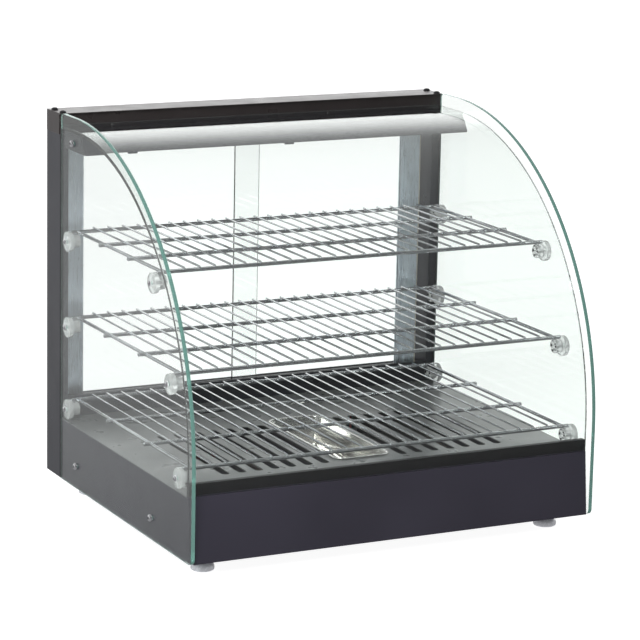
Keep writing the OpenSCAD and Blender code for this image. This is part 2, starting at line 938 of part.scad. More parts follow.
module pilot_bezel() {
    color([0.75, 0.76, 0.78]) place() difference() {
        rod_y(pilot_x, panel_face, panel_face + 2, control_z, 14);
        rod_y(pilot_x, panel_face - 1, panel_face + 3, control_z, 9);
    }
}

module pilot_lens() {
    color([0.85, 0.2, 0.1, 0.8]) place() {
        rod_y(pilot_x, panel_face - 12, panel_face + 2.5, control_z, 9);
        translate([pilot_x, panel_face + 2, control_z]) rotate([-90, 0, 0]) dome_head(9, 2.5, 0.2);
    }
}

module switch_housing(x) {
    inner = panel_face - frame_sheet;
    difference() {
        union() {
            block([x - 12, panel_face, control_z - 16.5], [x + 12, panel_face + 1.6, control_z + 16.5]);
            block([x - 9.8, inner - 21, control_z - 13.8], [x + 9.8, panel_face + 1, control_z + 13.8]);
        }
        block([x - 7, inner - 13, control_z - 11], [x + 7, panel_face + 3, control_z + 11]);
        rod_x(x - 8.8, x + 8.8, panel_face - 5.5, control_z, 3.1);
    }
    for (dx = [-5, 0, 5]) {
        block([x + dx - 0.4, inner - 24, control_z - 3], [x + dx + 0.4, inner - 20, control_z + 3]);
    }
}

// Rocker resting at its off tilt, turning on two side pins
module rocker(x) {
    translate([x, panel_face - 5.5, control_z]) rotate([rocker_tilt, 0, 0]) {
        along_x(-6.7, 6.7) polygon([[-4, -9.5], [7.6, -9.5], [6.1, 0], [7.6, 9.5], [-4, 9.5]]);
        rod_x(-8.6, 8.6, 0, 0, 3);
    }
}

module power_switch_housing() {
    color([0.06, 0.06, 0.07]) place() switch_housing(power_x);
}

module power_rocker() {
    color([0.75, 0.1, 0.08]) place() rocker(power_x);
}

module light_switch_housing() {
    color([0.06, 0.06, 0.07]) place() switch_housing(light_x);
}

module light_rocker() {
    color([0.1, 0.45, 0.2]) place() rocker(light_x);
}

base_shell();
bottom_plate();
front_panel();
deck_plate();
deck_supports();
rear_panel();
rear_sill();
left_post();
right_post();
top_beam();
upper_door_track();
lower_door_track();
left_side_glass();
right_side_glass();
frame_gaskets();
curved_front_glass();
lamp_hood();
left_lamp_bracket();
right_lamp_bracket();
lamp_tube();
lamp_holders();
left_shelf_holders();
right_shelf_holders();
holder_screws();
holder_washers();
glass_screws();
top_screws();
lamp_screws();
panel_screws();
bottom_screws();
feet();
left_heating_element();
right_heating_element();
element_brackets();
terminal_block();
cable_gland();
wiring_loom();
thermostat_body();
thermostat_shaft();
thermostat_knob();
dial_ring();
pilot_bezel();
pilot_lens();
power_switch_housing();
power_rocker();
light_switch_housing();
light_rocker();
left_rear_door();
left_door_stile();
left_door_seal();
right_rear_door();
right_door_stile();
right_door_seal();
top_shelf();
middle_shelf();
bottom_shelf();
water_tray();
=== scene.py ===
"""Looks of the hot food display case: materials, detailed pieces, camera, floor and light."""

import json
import math

import bmesh
import bpy
from mathutils import Matrix, Vector


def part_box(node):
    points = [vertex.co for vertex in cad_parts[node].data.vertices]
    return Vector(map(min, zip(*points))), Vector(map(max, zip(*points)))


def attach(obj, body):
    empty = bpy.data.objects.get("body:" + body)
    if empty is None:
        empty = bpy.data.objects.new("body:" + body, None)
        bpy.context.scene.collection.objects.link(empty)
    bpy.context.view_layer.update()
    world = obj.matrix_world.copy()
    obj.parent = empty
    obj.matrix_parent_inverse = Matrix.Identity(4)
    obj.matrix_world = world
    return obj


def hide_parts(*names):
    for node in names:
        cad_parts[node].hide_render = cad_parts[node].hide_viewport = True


MM = 0.001
TAU = 2 * math.pi
SAME_POINT = 1e-6

# Room left between a glass and what stands on it, so that their faces do not coincide.
GLASS_GAP = 0.06 * MM

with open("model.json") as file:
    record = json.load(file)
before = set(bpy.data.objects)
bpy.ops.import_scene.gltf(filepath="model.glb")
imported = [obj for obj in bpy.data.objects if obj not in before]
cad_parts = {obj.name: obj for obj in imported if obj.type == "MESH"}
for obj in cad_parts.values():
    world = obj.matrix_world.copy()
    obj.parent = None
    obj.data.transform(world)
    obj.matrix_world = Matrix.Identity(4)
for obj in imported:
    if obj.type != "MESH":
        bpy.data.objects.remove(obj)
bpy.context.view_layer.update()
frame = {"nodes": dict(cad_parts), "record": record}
NODES = frame["nodes"]


# ---------------------------------------------------------------- mesh helpers

def turn_to(axis):
    """Rotation that carries +Z onto axis."""
    return Vector((0, 0, 1)).rotation_difference(Vector(axis)).to_matrix()


def value(v, angle):
    """v itself, or what it gives at that angle if it is a function."""
    return v(angle) if callable(v) else v


def join(bm, low, high):
    """Faces between two closed loops of vertices; either may be a single point."""
    count = max(len(low), len(high))
    for i in range(count):
        j = (i + 1) % count
        if len(low) == 1:
            bm.faces.new((low[0], high[j], high[i]))
        elif len(high) == 1:
            bm.faces.new((low[i], low[j], high[0]))
        else:
            bm.faces.new((low[i], low[j], high[j], high[i]))


def loft(bm, origin, axis, rings, sides):
    """Closed body through rings of (height, radius); each may be a function of the angle.
    Heights run along axis from origin. A radius of zero closes the body in a point."""
    turn = turn_to(axis)
    origin = Vector(origin)
    loops = []
    for height, radius in rings:
        if not callable(radius) and radius == 0:
            loops.append([bm.verts.new(origin + turn @ Vector((0, 0, value(height, 0))))])
            continue
        loop = []
        for i in range(sides):
            a = i * TAU / sides
            r = value(radius, a)
            point = Vector((r * math.cos(a), r * math.sin(a), value(height, a)))
            loop.append(bm.verts.new(origin + turn @ point))
        loops.append(loop)
    for low, high in zip(loops, loops[1:]):
        join(bm, low, high)


def round_rod(bm, start, end, radius, sides=12, chamfer=0.35):
    """Straight rod with rounded ends."""
    start, end = Vector(start), Vector(end)
    length = (end - start).length
    c = radius * chamfer
    rings = [(0, 0), (0, radius - c), (c * 0.3, radius - c * 0.3), (c, radius)]
    rings += [(length - h, r) for h, r in reversed(rings)]
    loft(bm, start, end - start, rings, sides)


def bead(bm, centre, axis, length, radius, sides=8):
    """Small spindle-shaped weld bead."""
    steps = 5
    rings = [(0, 0)]
    for i in range(1, steps):
        a = math.pi * i / steps
        rings.append((length / 2 * (1 - math.cos(a)), radius * math.sin(a)))
    rings.append((length, 0))
    loft(bm, Vector(centre) - Vector(axis) * length / 2, axis, rings, sides)


def piece(name, bm, material, body, nodes=(), smooth_angle=35):
    """Turns a bmesh into an object that rides on a body and stands for CAD nodes."""
    bmesh.ops.recalc_face_normals(bm, faces=bm.faces)
    mesh = bpy.data.meshes.new(name)
    limit = math.radians(smooth_angle)
    for f in bm.faces:
        f.smooth = True
    for e in bm.edges:
        e.smooth = len(e.link_faces) == 2 and e.calc_face_angle(0) < limit
    bm.to_mesh(mesh)
    bm.free()
    obj = bpy.data.objects.new(name, mesh)
    bpy.context.scene.collection.objects.link(obj)
    mesh.materials.append(material)
    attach(obj, body)
    if nodes:
        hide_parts(*nodes)
    return obj


def solids(node):
    """Box of each separate solid in a CAD node, as (lowest corner, highest corner)."""
    bm = bmesh.new()
    bm.from_mesh(NODES[node].data)
    bmesh.ops.remove_doubles(bm, verts=bm.verts, dist=SAME_POINT)
    left = set(bm.verts)
    found = []
    while left:
        stack = [left.pop()]
        group = list(stack)
        while stack:
            for e in stack.pop().link_edges:
                for v in e.verts:
                    if v in left:
                        left.remove(v)
                        stack.append(v)
                        group.append(v)
        lo = Vector([min(v.co[k] for v in group) for k in range(3)])
        hi = Vector([max(v.co[k] for v in group) for k in range(3)])
        found.append((lo, hi))
    bm.free()
    return sorted(found, key=lambda b: tuple(round(c, 4) for c in b[0]))


WELD_DISTANCE = 1e-5
FLAT_ANGLE = math.radians(0.4)
EDGE_ANGLE = math.radians(30)


def soften(node, width):
    """Small rounded edges on a CAD node, by modifiers only."""
    obj = NODES[node]
    weld = obj.modifiers.new("weld", "WELD")
    weld.merge_threshold = WELD_DISTANCE
    flat = obj.modifiers.new("flat", "DECIMATE")
    flat.decimate_type = "DISSOLVE"
    flat.angle_limit = FLAT_ANGLE
    bevel = obj.modifiers.new("edges", "BEVEL")
    bevel.width = width
    bevel.segments = 2
    bevel.limit_method = "ANGLE"
    bevel.angle_limit = EDGE_ANGLE
    bevel.harden_normals = True
    bevel.use_clamp_overlap = True


def clear_of_glass(node):
    """Draws all faces of a CAD node in by GLASS_GAP, by a modifier, because some lie on a glass."""
    inward = NODES[node].modifiers.new("clear_of_glass", "DISPLACE")
    inward.mid_level = 0
    inward.strength = -GLASS_GAP


# ---------------------------------------------------------------- camera

CAMERA_AT = Vector((-1.6214, -3.1998, 1.0559))
YAW = math.radians(26.983)
PITCH = math.radians(12.709)
ROLL = math.radians(1.244)
LENS = 162.29
SENSOR_WIDTH = 36
FURTHEST_SEEN = 60

forward = Vector((math.sin(YAW) * math.cos(PITCH), math.cos(YAW) * math.cos(PITCH), -math.sin(PITCH)))
level = Vector((math.cos(YAW), -math.sin(YAW), 0))
upright = level.cross(forward)
right = math.cos(ROLL) * level + math.sin(ROLL) * upright
up = -math.sin(ROLL) * level + math.cos(ROLL) * upright
camera_data = bpy.data.cameras.new("camera")
camera_data.sensor_width = SENSOR_WIDTH
camera_data.lens = LENS
camera_data.clip_end = FURTHEST_SEEN
camera = bpy.data.objects.new("camera", camera_data)
turn = Matrix((right, up, -forward)).transposed()
camera.matrix_world = Matrix.Translation(CAMERA_AT) @ turn.to_4x4()
bpy.context.scene.collection.objects.link(camera)
bpy.context.scene.camera = camera


# ---------------------------------------------------------------- materials

class Graph:
    """A shader node tree under construction."""

    def __init__(self, tree):
        self.tree = tree
        tree.nodes.clear()

    def node(self, kind):
        return self.tree.nodes.new(kind)

    def link(self, a, b):
        self.tree.links.new(a, b)

    def feed(self, socket, term):
        """Links a socket to another node's output, or sets it to a plain value."""
        if isinstance(term, bpy.types.NodeSocket):
            self.link(term, socket)
        else:
            socket.default_value = term

    def maths(self, operation, *terms):
        node = self.node("ShaderNodeMath")
        node.operation = operation
        for socket, term in zip(node.inputs, terms):
            self.feed(socket, term)
        return node.outputs["Value"]

    def ranged(self, fac, x0, x1, y0, y1, smooth=False):
        """Maps x0 to x1 onto y0 to y1."""
        node = self.node("ShaderNodeMapRange")
        if smooth:
            node.interpolation_type = "SMOOTHSTEP"
        for name, number in zip(("From Min", "From Max", "To Min", "To Max"), (x0, x1, y0, y1)):
            node.inputs[name].default_value = number
        self.link(fac, node.inputs["Value"])
        return node.outputs["Result"]

    def parts(self, vector):
        """Outputs X, Y and Z of a vector."""
        split = self.node("ShaderNodeSeparateXYZ")
        self.link(vector, split.inputs["Vector"])
        return split.outputs

    def place(self, kind):
        """Outputs X, Y and Z of one kind of texture coordinates."""
        return self.parts(self.node("ShaderNodeTexCoord").outputs[kind])

    def either(self, fac, first, second):
        """First shader where fac is 0, second where it is 1."""
        mix = self.node("ShaderNodeMixShader")
        self.link(fac, mix.inputs["Fac"])
        self.link(first, mix.inputs[1])
        self.link(second, mix.inputs[2])
        return mix.outputs["Shader"]

    def seen_directly(self):
        """1 for rays from the lens that met only clear glass, 0 once they were reflected or scattered."""
        path = self.node("ShaderNodeLightPath").outputs
        turns = self.maths("ADD", path["Glossy Depth"], path["Diffuse Depth"])
        return self.maths("LESS_THAN", turns, 0.5)


class Finish(Graph):
    """A node material under construction: one Principled shader and helpers that feed it."""

    def __init__(self, name, colour, roughness, **sockets):
        self.material = bpy.data.materials.new(name)
        self.material.use_nodes = True
        super().__init__(self.material.node_tree)
        self.out = self.node("ShaderNodeOutputMaterial")
        self.shader = self.node("ShaderNodeBsdfPrincipled")
        self.link(self.shader.outputs["BSDF"], self.out.inputs["Surface"])
        self.colour = (*colour, 1)
        self.set("Base Color", self.colour)
        self.set("Roughness", roughness)
        for socket, number in sockets.items():
            self.set(socket.replace("_", " "), number)
        self.normal = None

    def set(self, socket, number):
        self.shader.inputs[socket].default_value = number

    def noise(self, scale, detail=3, stretch=(1, 1, 1)):
        """Noise in the object's own coordinates; scale is in features per metre."""
        where = self.node("ShaderNodeTexCoord")
        mapping = self.node("ShaderNodeMapping")
        mapping.inputs["Scale"].default_value = stretch
        texture = self.node("ShaderNodeTexNoise")
        texture.inputs["Scale"].default_value = scale
        texture.inputs["Detail"].default_value = detail
        self.link(where.outputs["Object"], mapping.inputs["Vector"])
        self.link(mapping.outputs["Vector"], texture.inputs["Vector"])
        return texture.outputs[0]

    def spread(self, fac, low, high):
        """Maps the middle of a noise onto low to high."""
        return self.ranged(fac, 0.3, 0.7, low, high)

    def shade(self, fac, low, high, colour=None):
        """Varies the base colour, or another one given, between low and high times itself."""
        scale = self.node("ShaderNodeVectorMath")
        scale.operation = "SCALE"
        self.feed(scale.inputs[0], self.colour[:3] if colour is None else colour)
        self.link(self.spread(fac, low, high), scale.inputs["Scale"])
        self.link(scale.outputs["Vector"], self.shader.inputs["Base Color"])

    def gloss(self, fac, low, high):
        self.link(self.spread(fac, low, high), self.shader.inputs["Roughness"])

    def relief(self, fac, distance, strength=1.0):
        """Normal of a relief of about distance metres, on top of any earlier one."""
        bump = self.node("ShaderNodeBump")
        bump.inputs["Distance"].default_value = distance
        bump.inputs["Strength"].default_value = strength
        self.link(fac, bump.inputs["Height"])
        if self.normal is not None:
            self.link(self.normal, bump.inputs["Normal"])
        return bump.outputs["Normal"]

    def bump(self, fac, distance, strength=1.0):
        self.normal = self.relief(fac, distance, strength)
        self.link(self.normal, self.shader.inputs["Normal"])


PAINT_GRAIN = 1400
PAINT_RELIEF = 0.0000012


def sprayed_skin(f, roughness, grain, relief):
    """Uneven gloss and fine orange peel of sprayed paint."""
    f.gloss(f.noise(30, 4), roughness - 0.04, roughness + 0.05)
    f.bump(f.noise(grain, 2), relief)


def powder_coat(name, colour, roughness, grain=PAINT_GRAIN, relief=PAINT_RELIEF, **sockets):
    """Sprayed paint on sheet metal, with slow changes of shade."""
    f = Finish(name, colour, roughness, **sockets)
    f.shade(f.noise(9, 2), 0.9, 1.1)
    sprayed_skin(f, roughness, grain, relief)
    return f.material


def lip_shaded_panel(name, colour, shade_colour, shade_z, roughness, **sockets):
    """Sprayed sheet whose part above a height in metres is painted darker: painted shade on the lip under
    the glass.
    """
    f = Finish(name, colour, roughness, **sockets)
    mix = f.node("ShaderNodeMix")
    mix.data_type = "RGBA"
    colour_in = [socket for socket in mix.inputs if socket.type == "RGBA"]
    colour_out = [socket for socket in mix.outputs if socket.type == "RGBA"]
    colour_in[0].default_value = (*colour, 1)
    colour_in[1].default_value = (*shade_colour, 1)
    # Painted shade: above that height the colour switches to the darker one.
    f.link(f.maths("GREATER_THAN", f.place("Object")["Z"], shade_z), mix.inputs["Factor"])
    f.shade(f.noise(7, 2), 0.88, 1.12, colour_out[0])
    sprayed_skin(f, roughness, PAINT_GRAIN, PAINT_RELIEF)
    return f.material


def plated(name, colour, roughness, metallic=1.0):
    """Bright plating over drawn wire or turned steel; a low metallic gives satin zinc."""
    f = Finish(name, colour, roughness, Metallic=metallic)
    f.shade(f.noise(60, 3), 0.92, 1.06)
    f.gloss(f.noise(240, 3), roughness * 0.7, roughness * 1.5)
    f.bump(f.noise(700, 2), 0.00002, 0.4)
    return f.material


def brushed(name, colour, roughness, along):
    """Metal with fine lines along one axis, given as a unit vector."""
    stretch = [0.02 if a else 1 for a in along]
    f = Finish(name, colour, roughness, Metallic=1.0)
    lines = f.noise(1500, 3, stretch)
    f.shade(f.noise(14, 3), 0.93, 1.06)
    f.gloss(lines, roughness - 0.06, roughness + 0.08)
    f.bump(lines, 0.00002, 0.5)
    return f.material


def moulded(name, colour, roughness, relief=0.00002, **sockets):
    """Injection moulded plastic or rubber with a fine skin."""
    f = Finish(name, colour, roughness, **sockets)
    f.shade(f.noise(40, 2), 0.93, 1.07)
    f.gloss(f.noise(120, 3), roughness - 0.05, roughness + 0.06)
    f.bump(f.noise(2600, 2), relief, 0.5)
    return f.material


def ground_edge(f, face, colour):
    """Mixes a dull green ground edge into a glass where its surface turns away from X."""
    normal = f.parts(f.node("ShaderNodeNewGeometry").outputs["True Normal"])
    is_edge = f.maths("LESS_THAN", f.maths("ABSOLUTE", normal["X"]), 0.9)
    ground = f.node("ShaderNodeBsdfPrincipled")
    ground.inputs["Base Color"].default_value = (*colour, 1)
    ground.inputs["Roughness"].default_value = 0.22
    ground.inputs["Transmission Weight"].default_value = 0.7
    ground.inputs["IOR"].default_value = 1.45
    f.link(f.relief(f.noise(900, 2), 0.00003, 0.4), ground.inputs["Normal"])
    return f.either(is_edge, face, ground.outputs["BSDF"])


def see_through(name, tint, edge=None):
    """Clear solid. Light passes straight through it for shadows and bounced light.
    edge gives the colour of the ground edges of a glass that faces sideways."""
    f = Finish(name, tint, 0)
    f.tree.nodes.remove(f.shader)
    glass = f.node("ShaderNodeBsdfGlass")
    glass.inputs["Color"].default_value = (*tint, 1)
    glass.inputs["Roughness"].default_value = 0
    glass.inputs["IOR"].default_value = 1.5
    f.link(f.relief(f.noise(12, 1), 0.00002, 0.05), glass.inputs["Normal"])
    clear = f.node("ShaderNodeBsdfTransparent")
    clear.inputs["Color"].default_value = (*[t * 0.97 for t in tint], 1)
    path = f.node("ShaderNodeLightPath").outputs
    passes = f.maths("MAXIMUM", path["Is Shadow Ray"], path["Is Diffuse Ray"])
    result = f.either(passes, glass.outputs["BSDF"], clear.outputs["BSDF"])
    if edge:
        result = ground_edge(f, result, edge)
    f.link(result, f.out.inputs["Surface"])
    return f.material


def frosted(name, tint, roughness):
    """Milky clear moulding: part of the light goes through and part is scattered back."""
    f = Finish(name, tint, roughness, Transmission_Weight=0.72, IOR=1.22, Coat_Weight=0.3)
    f.shade(f.noise(60, 2), 0.92, 1.05)
    f.bump(f.noise(500, 2), 0.00004, 0.4)
    return f.material


GLASS_TINT = (0.975, 0.99, 0.982)
GROUND_GREEN = (0.28, 0.58, 0.5)
# Painted shade on the front panel's lip: near black above this height.
LIP_PAINTED_SHADE = (0.004, 0.004, 0.0045)
LIP_SHADE_Z = 0.1035
FINISHES = {
    "black_sheet": powder_coat("black_sheet", (0.026, 0.024, 0.034), 0.42, Specular_IOR_Level=0.3),
    "front_panel": lip_shaded_panel("front_panel", (0.027, 0.025, 0.036), LIP_PAINTED_SHADE, LIP_SHADE_Z, 0.42,
                               Specular_IOR_Level=0.3),
    "top_beam": powder_coat("top_beam", (0.025, 0.021, 0.021), 0.3, relief=0.000001,
                            Specular_IOR_Level=0.4),
    "deck_grey": powder_coat("deck_grey", (0.13, 0.133, 0.135), 0.3, grain=900),
    "frame_black": powder_coat("frame_black", (0.022, 0.023, 0.028), 0.3, relief=0.000001,
                               Specular_IOR_Level=0.35),
    "inner_steel": brushed("inner_steel", (0.2, 0.2, 0.21), 0.42, (1, 0, 0)),
    "clear_glass": see_through("clear_glass", GLASS_TINT, edge=GROUND_GREEN),
    "front_glass": see_through("front_glass", GLASS_TINT),
    "door_glass": see_through("door_glass", (0.985, 0.993, 0.99)),
    "chrome_wire": plated("chrome_wire", (0.58, 0.59, 0.61), 0.14),
    "chrome_screw": plated("chrome_screw", (0.62, 0.62, 0.64), 0.18),
    "chrome_foot": plated("chrome_foot", (0.86, 0.87, 0.92), 0.22, 0.1),
    "black_screw": moulded("black_screw", (0.02, 0.02, 0.022), 0.35, Metallic=0.4),
    "stainless_tray": brushed("stainless_tray", (0.74, 0.73, 0.71), 0.17, (0, 1, 0)),
    "clear_plastic": frosted("clear_plastic", (0.97, 0.98, 0.98), 0.05),
    # Painted shade: near black for the faces deep in the holders' pockets.
    "pocket_painted_shade": frosted("pocket_painted_shade", (0.01, 0.01, 0.011), 0.12),
    "door_aluminium": brushed("door_aluminium", (0.78, 0.85, 0.92), 0.3, (0, 0, 1)),
    "door_seal": moulded("door_seal", (0.62, 0.6, 0.52), 0.5),
    "gasket": moulded("gasket", (0.012, 0.012, 0.013), 0.6),
    "track_plastic": moulded("track_plastic", (0.035, 0.035, 0.04), 0.45),
    "black_plastic": moulded("black_plastic", (0.014, 0.014, 0.016), 0.3),
    "knob_plastic": moulded("knob_plastic", (0.02, 0.02, 0.022), 0.42, relief=0.00004),
    "rocker_red": moulded("rocker_red", (0.5, 0.02, 0.015), 0.2, Coat_Weight=0.4),
    "rocker_green": moulded("rocker_green", (0.01, 0.2, 0.05), 0.2, Coat_Weight=0.4),
    "lens_amber": moulded("lens_amber", (0.75, 0.16, 0.02), 0.12, Transmission_Weight=0.5),
    "ceramic_white": moulded("ceramic_white", (0.72, 0.7, 0.64), 0.35),
    "lamp_glass": moulded("lamp_glass", (0.85, 0.8, 0.66), 0.4, Transmission_Weight=0.3),
    "element_sheath": brushed("element_sheath", (0.13, 0.105, 0.09), 0.4, (0, 1, 0)),
    "dial_silver": brushed("dial_silver", (0.7, 0.71, 0.72), 0.3, (1, 0, 0)),
    "wire_cover": moulded("wire_cover", (0.4, 0.03, 0.02), 0.45),
}


# ---------------------------------------------------------------- CAD nodes that stay

OWN_FINISH = {"curved_front_glass": "front_glass", "front_panel": "front_panel", "top_beam": "top_beam"}


def dress_cad_nodes():
    """Gives every CAD node the finish of its record slot, and some a finish of their own."""
    for part in frame["record"]["subparts"]:
        mesh_object = NODES[part["node"]]
        material = FINISHES[part["material_slot"]]
        for place in mesh_object.material_slots:
            place.material = material
        if not mesh_object.material_slots:
            mesh_object.data.materials.append(material)
    for node, finish in OWN_FINISH.items():
        for place in NODES[node].material_slots:
            place.material = FINISHES[finish]


SHEET_EDGE = 0.4 * MM
SOFT_EDGES = {
    "base_shell": SHEET_EDGE,
    "bottom_plate": SHEET_EDGE,
    "front_panel": SHEET_EDGE,
    "rear_panel": SHEET_EDGE,
    "rear_sill": SHEET_EDGE,
    "left_post": 0.6 * MM,
    "right_post": 0.6 * MM,
    "top_beam": 0.5 * MM,
    "upper_door_track": 0.3 * MM,
    "lower_door_track": 0.3 * MM,
    "left_side_glass": 0.35 * MM,
    "right_side_glass": 0.35 * MM,
    "left_rear_door": 0.3 * MM,
    "right_rear_door": 0.3 * MM,
    "left_door_stile": 0.5 * MM,
    "right_door_stile": 0.5 * MM,
    "left_door_seal": 0.8 * MM,
    "right_door_seal": 0.8 * MM,
    "frame_gaskets": 0.5 * MM,
    "lamp_hood": SHEET_EDGE,
    "left_lamp_bracket": SHEET_EDGE,
    "right_lamp_bracket": SHEET_EDGE,
    "terminal_block": 0.5 * MM,
    "thermostat_body": 1.0 * MM,
    "power_switch_housing": 0.4 * MM,
    "light_switch_housing": 0.4 * MM,
    "power_rocker": 0.5 * MM,
    "light_rocker": 0.5 * MM,
    "cable_gland": 0.4 * MM,
    "lamp_holders": 1.2 * MM,
}


# ---------------------------------------------------------------- front glass

def bent_front_glass(node):
    """Sheet of glass bent to a quarter circle, with a straight foot and small ground arrises."""
    lo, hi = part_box(node)
    outer_r, thick, arris = 352 * MM, 5 * MM, 0.4 * MM
    steps = 150
    centre_y, centre_z = lo.y + outer_r, hi.z - outer_r

    def path(r, c):
        points = [(centre_y - r, lo.z + c)]
        for i in range(steps + 1):
            a = math.pi - math.pi / 2 * i / steps
            points.append((centre_y + r * math.cos(a), centre_z + r * math.sin(a)))
        return points + [(hi.y - c, centre_z + r)]

    def outline(x, c):
        outside = path(outer_r - c, c)
        inside = path(outer_r - thick + c, c)
        return [bm.verts.new((x, y, z)) for y, z in outside + inside[::-1]]

    bm = bmesh.new()
    sections = [outline(lo.x, arris), outline(lo.x + arris, 0)]
    sections += [outline(hi.x - arris, 0), outline(hi.x, arris)]
    count = len(sections[0])
    for a, b in zip(sections, sections[1:]):
        join(bm, a, b)
    for loop in (sections[0], sections[-1]):
        for i in range(count // 2 - 1):
            bm.faces.new((loop[i], loop[i + 1], loop[count - 2 - i], loop[count - 1 - i]))
    piece("bent_front_glass", bm, FINISHES["front_glass"], "case", [node])


# ---------------------------------------------------------------- shelves

def wire_shelf(node):
    """Cross rods and side rods under a row of thin wires, with a weld bead at each crossing."""
    lo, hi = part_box(node)
    rod_r = 2.5 * MM
    wire_r = 1.3 * MM
    side_r = 2.2 * MM
    wires = 24
    pitch = 20.3 * MM
    overhang = 5 * MM
    wire_bead = (4.6 * MM, 1.45 * MM)
    rod_bead = (7.5 * MM, 2.75 * MM)
    front_y = lo.y + rod_r
    back_y = hi.y - overhang
    rod_z = lo.z + rod_r
    wire_z = hi.z - wire_r
    side_in = 9 * MM
    side_x = hi.x - side_in
    rods = [front_y + k * (back_y - front_y) / 3 for k in range(4)]
    bm = bmesh.new()
    for y in rods:
        round_rod(bm, (lo.x, y, rod_z), (hi.x, y, rod_z), rod_r, 16)
    for x in (-side_x, side_x):
        round_rod(bm, (x, front_y - MM, rod_z), (x, back_y + MM, rod_z), side_r, 14)
    for i in range(wires):
        x = (i - (wires - 1) / 2) * pitch
        round_rod(bm, (x, front_y - MM / 2, wire_z), (x, hi.y, wire_z), wire_r, 12, 0.7)
        for y in rods:
            bead(bm, (x, y, wire_z - 0.7 * wire_r), (0, 1, 0), *wire_bead)
    for x in (-side_x, side_x):
        for y in rods:
            bead(bm, (x, y, rod_z), (0, 1, 0), *rod_bead, 12)
    piece(node + "_wires", bm, FINISHES["chrome_wire"], node, [node])


# ---------------------------------------------------------------- water tray

def rounded_outline(lo, hi, inset, radius):
    """Points of a rounded rectangle inside the (x, y) box lo to hi."""
    steps = 8
    points = []
    x0, x1 = lo.x + inset + radius, hi.x - inset - radius
    y0, y1 = lo.y + inset + radius, hi.y - inset - radius
    for cx, cy, start in ((x1, y1, 0), (x0, y1, 90), (x0, y0, 180), (x1, y0, 270)):
        for i in range(steps + 1):
            a = math.radians(start + 90 * i / steps)
            points.append((cx + radius * math.cos(a), cy + radius * math.sin(a)))
    return points


def pressed_tray(node):
    """Deep drawn pan: rolled rim, rounded shoulder, slightly sloping walls, filleted bottom."""
    lo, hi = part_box(node)
    wall = 0.8 * MM
    rim = 3.6 * MM
    lip = 0.9 * MM
    fillet = 6 * MM
    draft = 1.5 * MM
    top = hi.z
    corner, least_corner = 14 * MM, 3 * MM
    inner = []
    for i in range(7):
        a = math.radians(180 - 30 * i)
        inner.append((lip + lip * math.cos(a), top - lip + lip * math.sin(a)))
    shoulder = inner[:4]
    shoulder += [(rim - lip, top), (rim - 0.3 * lip, top - 0.3 * lip), (rim + 0.2 * lip, top - 1.3 * lip)]
    floor_z = lo.z + wall
    for i in range(7):
        a = math.radians(15 * i)
        shoulder.append((rim + wall + draft + fillet * (1 - math.cos(a)),
                         floor_z + fillet * (1 - math.sin(a))))
    outer = [(rim + draft + fillet, lo.z)]
    for i in range(6, -1, -1):
        a = math.radians(15 * i)
        outer.append((rim + draft + fillet * (1 - math.cos(a)), lo.z + fillet * (1 - math.sin(a))))
    outer += [(rim - 0.1 * MM, top - 2 * lip), (0.4 * lip, top - 2 * lip)]
    bm = bmesh.new()
    loops = []
    for inset, z in shoulder + outer:
        r = max(corner - inset, least_corner)
        loops.append([bm.verts.new((x, y, z)) for x, y in rounded_outline(lo, hi, inset, r)])
    inside_end = len(shoulder) - 1
    for k in range(len(loops)):
        if k == inside_end:
            continue
        join(bm, loops[k], loops[(k + 1) % len(loops)])
    bm.faces.new(loops[inside_end])
    bm.faces.new(loops[inside_end + 1])
    piece("water_tray_pan", bm, FINISHES["stainless_tray"], node, [node], smooth_angle=50)


# ---------------------------------------------------------------- shelf holders

def shelf_holder(bm, outer, inward):
    """Clear moulded disc with a hub whose end has six pockets between ribs.
    outer is the centre of the face on the glass and inward points into the case."""
    disc_r, disc_t = 13 * MM, 6.5 * MM
    hub_r, hub_t = 8.7 * MM, 10 * MM
    pockets = 6
    sides = 48
    end = disc_t + hub_t

    def dip(depth):
        return lambda a: end - depth * max(0.0, math.sin(pockets * a / 2) ** 2 - 0.12) / 0.88

    bore_r = 2.2 * MM
    rings = [(4 * MM, 0), (4 * MM, bore_r), (0, bore_r)]
    rings += [(0, disc_r - 0.8 * MM), (0.3 * MM, disc_r - 0.2 * MM)]
    rings += [(MM, disc_r), (disc_t - 1.2 * MM, disc_r), (disc_t - 0.3 * MM, disc_r - 0.4 * MM)]
    rings += [(disc_t, disc_r - 1.4 * MM), (disc_t, hub_r + 0.8 * MM), (disc_t + 0.8 * MM, hub_r)]
    rings += [(end - 0.6 * MM, hub_r), (end, hub_r - 0.6 * MM), (end, hub_r - 1.3 * MM)]
    rings += [(dip(6 * MM), hub_r - 1.9 * MM), (dip(7 * MM), 5.6 * MM), (dip(6 * MM), 4.2 * MM)]
    rings += [(end, 3.5 * MM), (end, 2.4 * MM), (end - 0.8 * MM, 2.1 * MM), (end - 1.0 * MM, 0)]
    before = len(bm.faces)
    loft(bm, outer, inward, rings, sides)
    # Painted shade: the faces deep in each pocket take material 1, a near black.
    shaded_pocket_rows = range(len(rings) - 8, len(rings) - 4)
    for number, face in enumerate(list(bm.faces)[before:]):
        row, column = divmod(number, sides)
        if row in shaded_pocket_rows and math.sin(pockets / 2 * (column + 0.5) * TAU / sides) ** 2 > 0.4:
            face.material_index = 1


def shelf_holders(node, side):
    """Holders on the left glass for side -1 and on the right glass for side 1."""
    bm = bmesh.new()
    for lo, hi in solids(node):
        middle = (lo + hi) / 2
        outer = (hi.x - GLASS_GAP if side > 0 else lo.x + GLASS_GAP, middle.y, middle.z)
        shelf_holder(bm, outer, (-side, 0, 0))
    name = node.replace("holders", "holder_mouldings")
    mouldings = piece(name, bm, FINISHES["clear_plastic"], "case", [node])
    # Second material: near black painted shade in the pockets.
    mouldings.data.materials.append(FINISHES["pocket_painted_shade"])


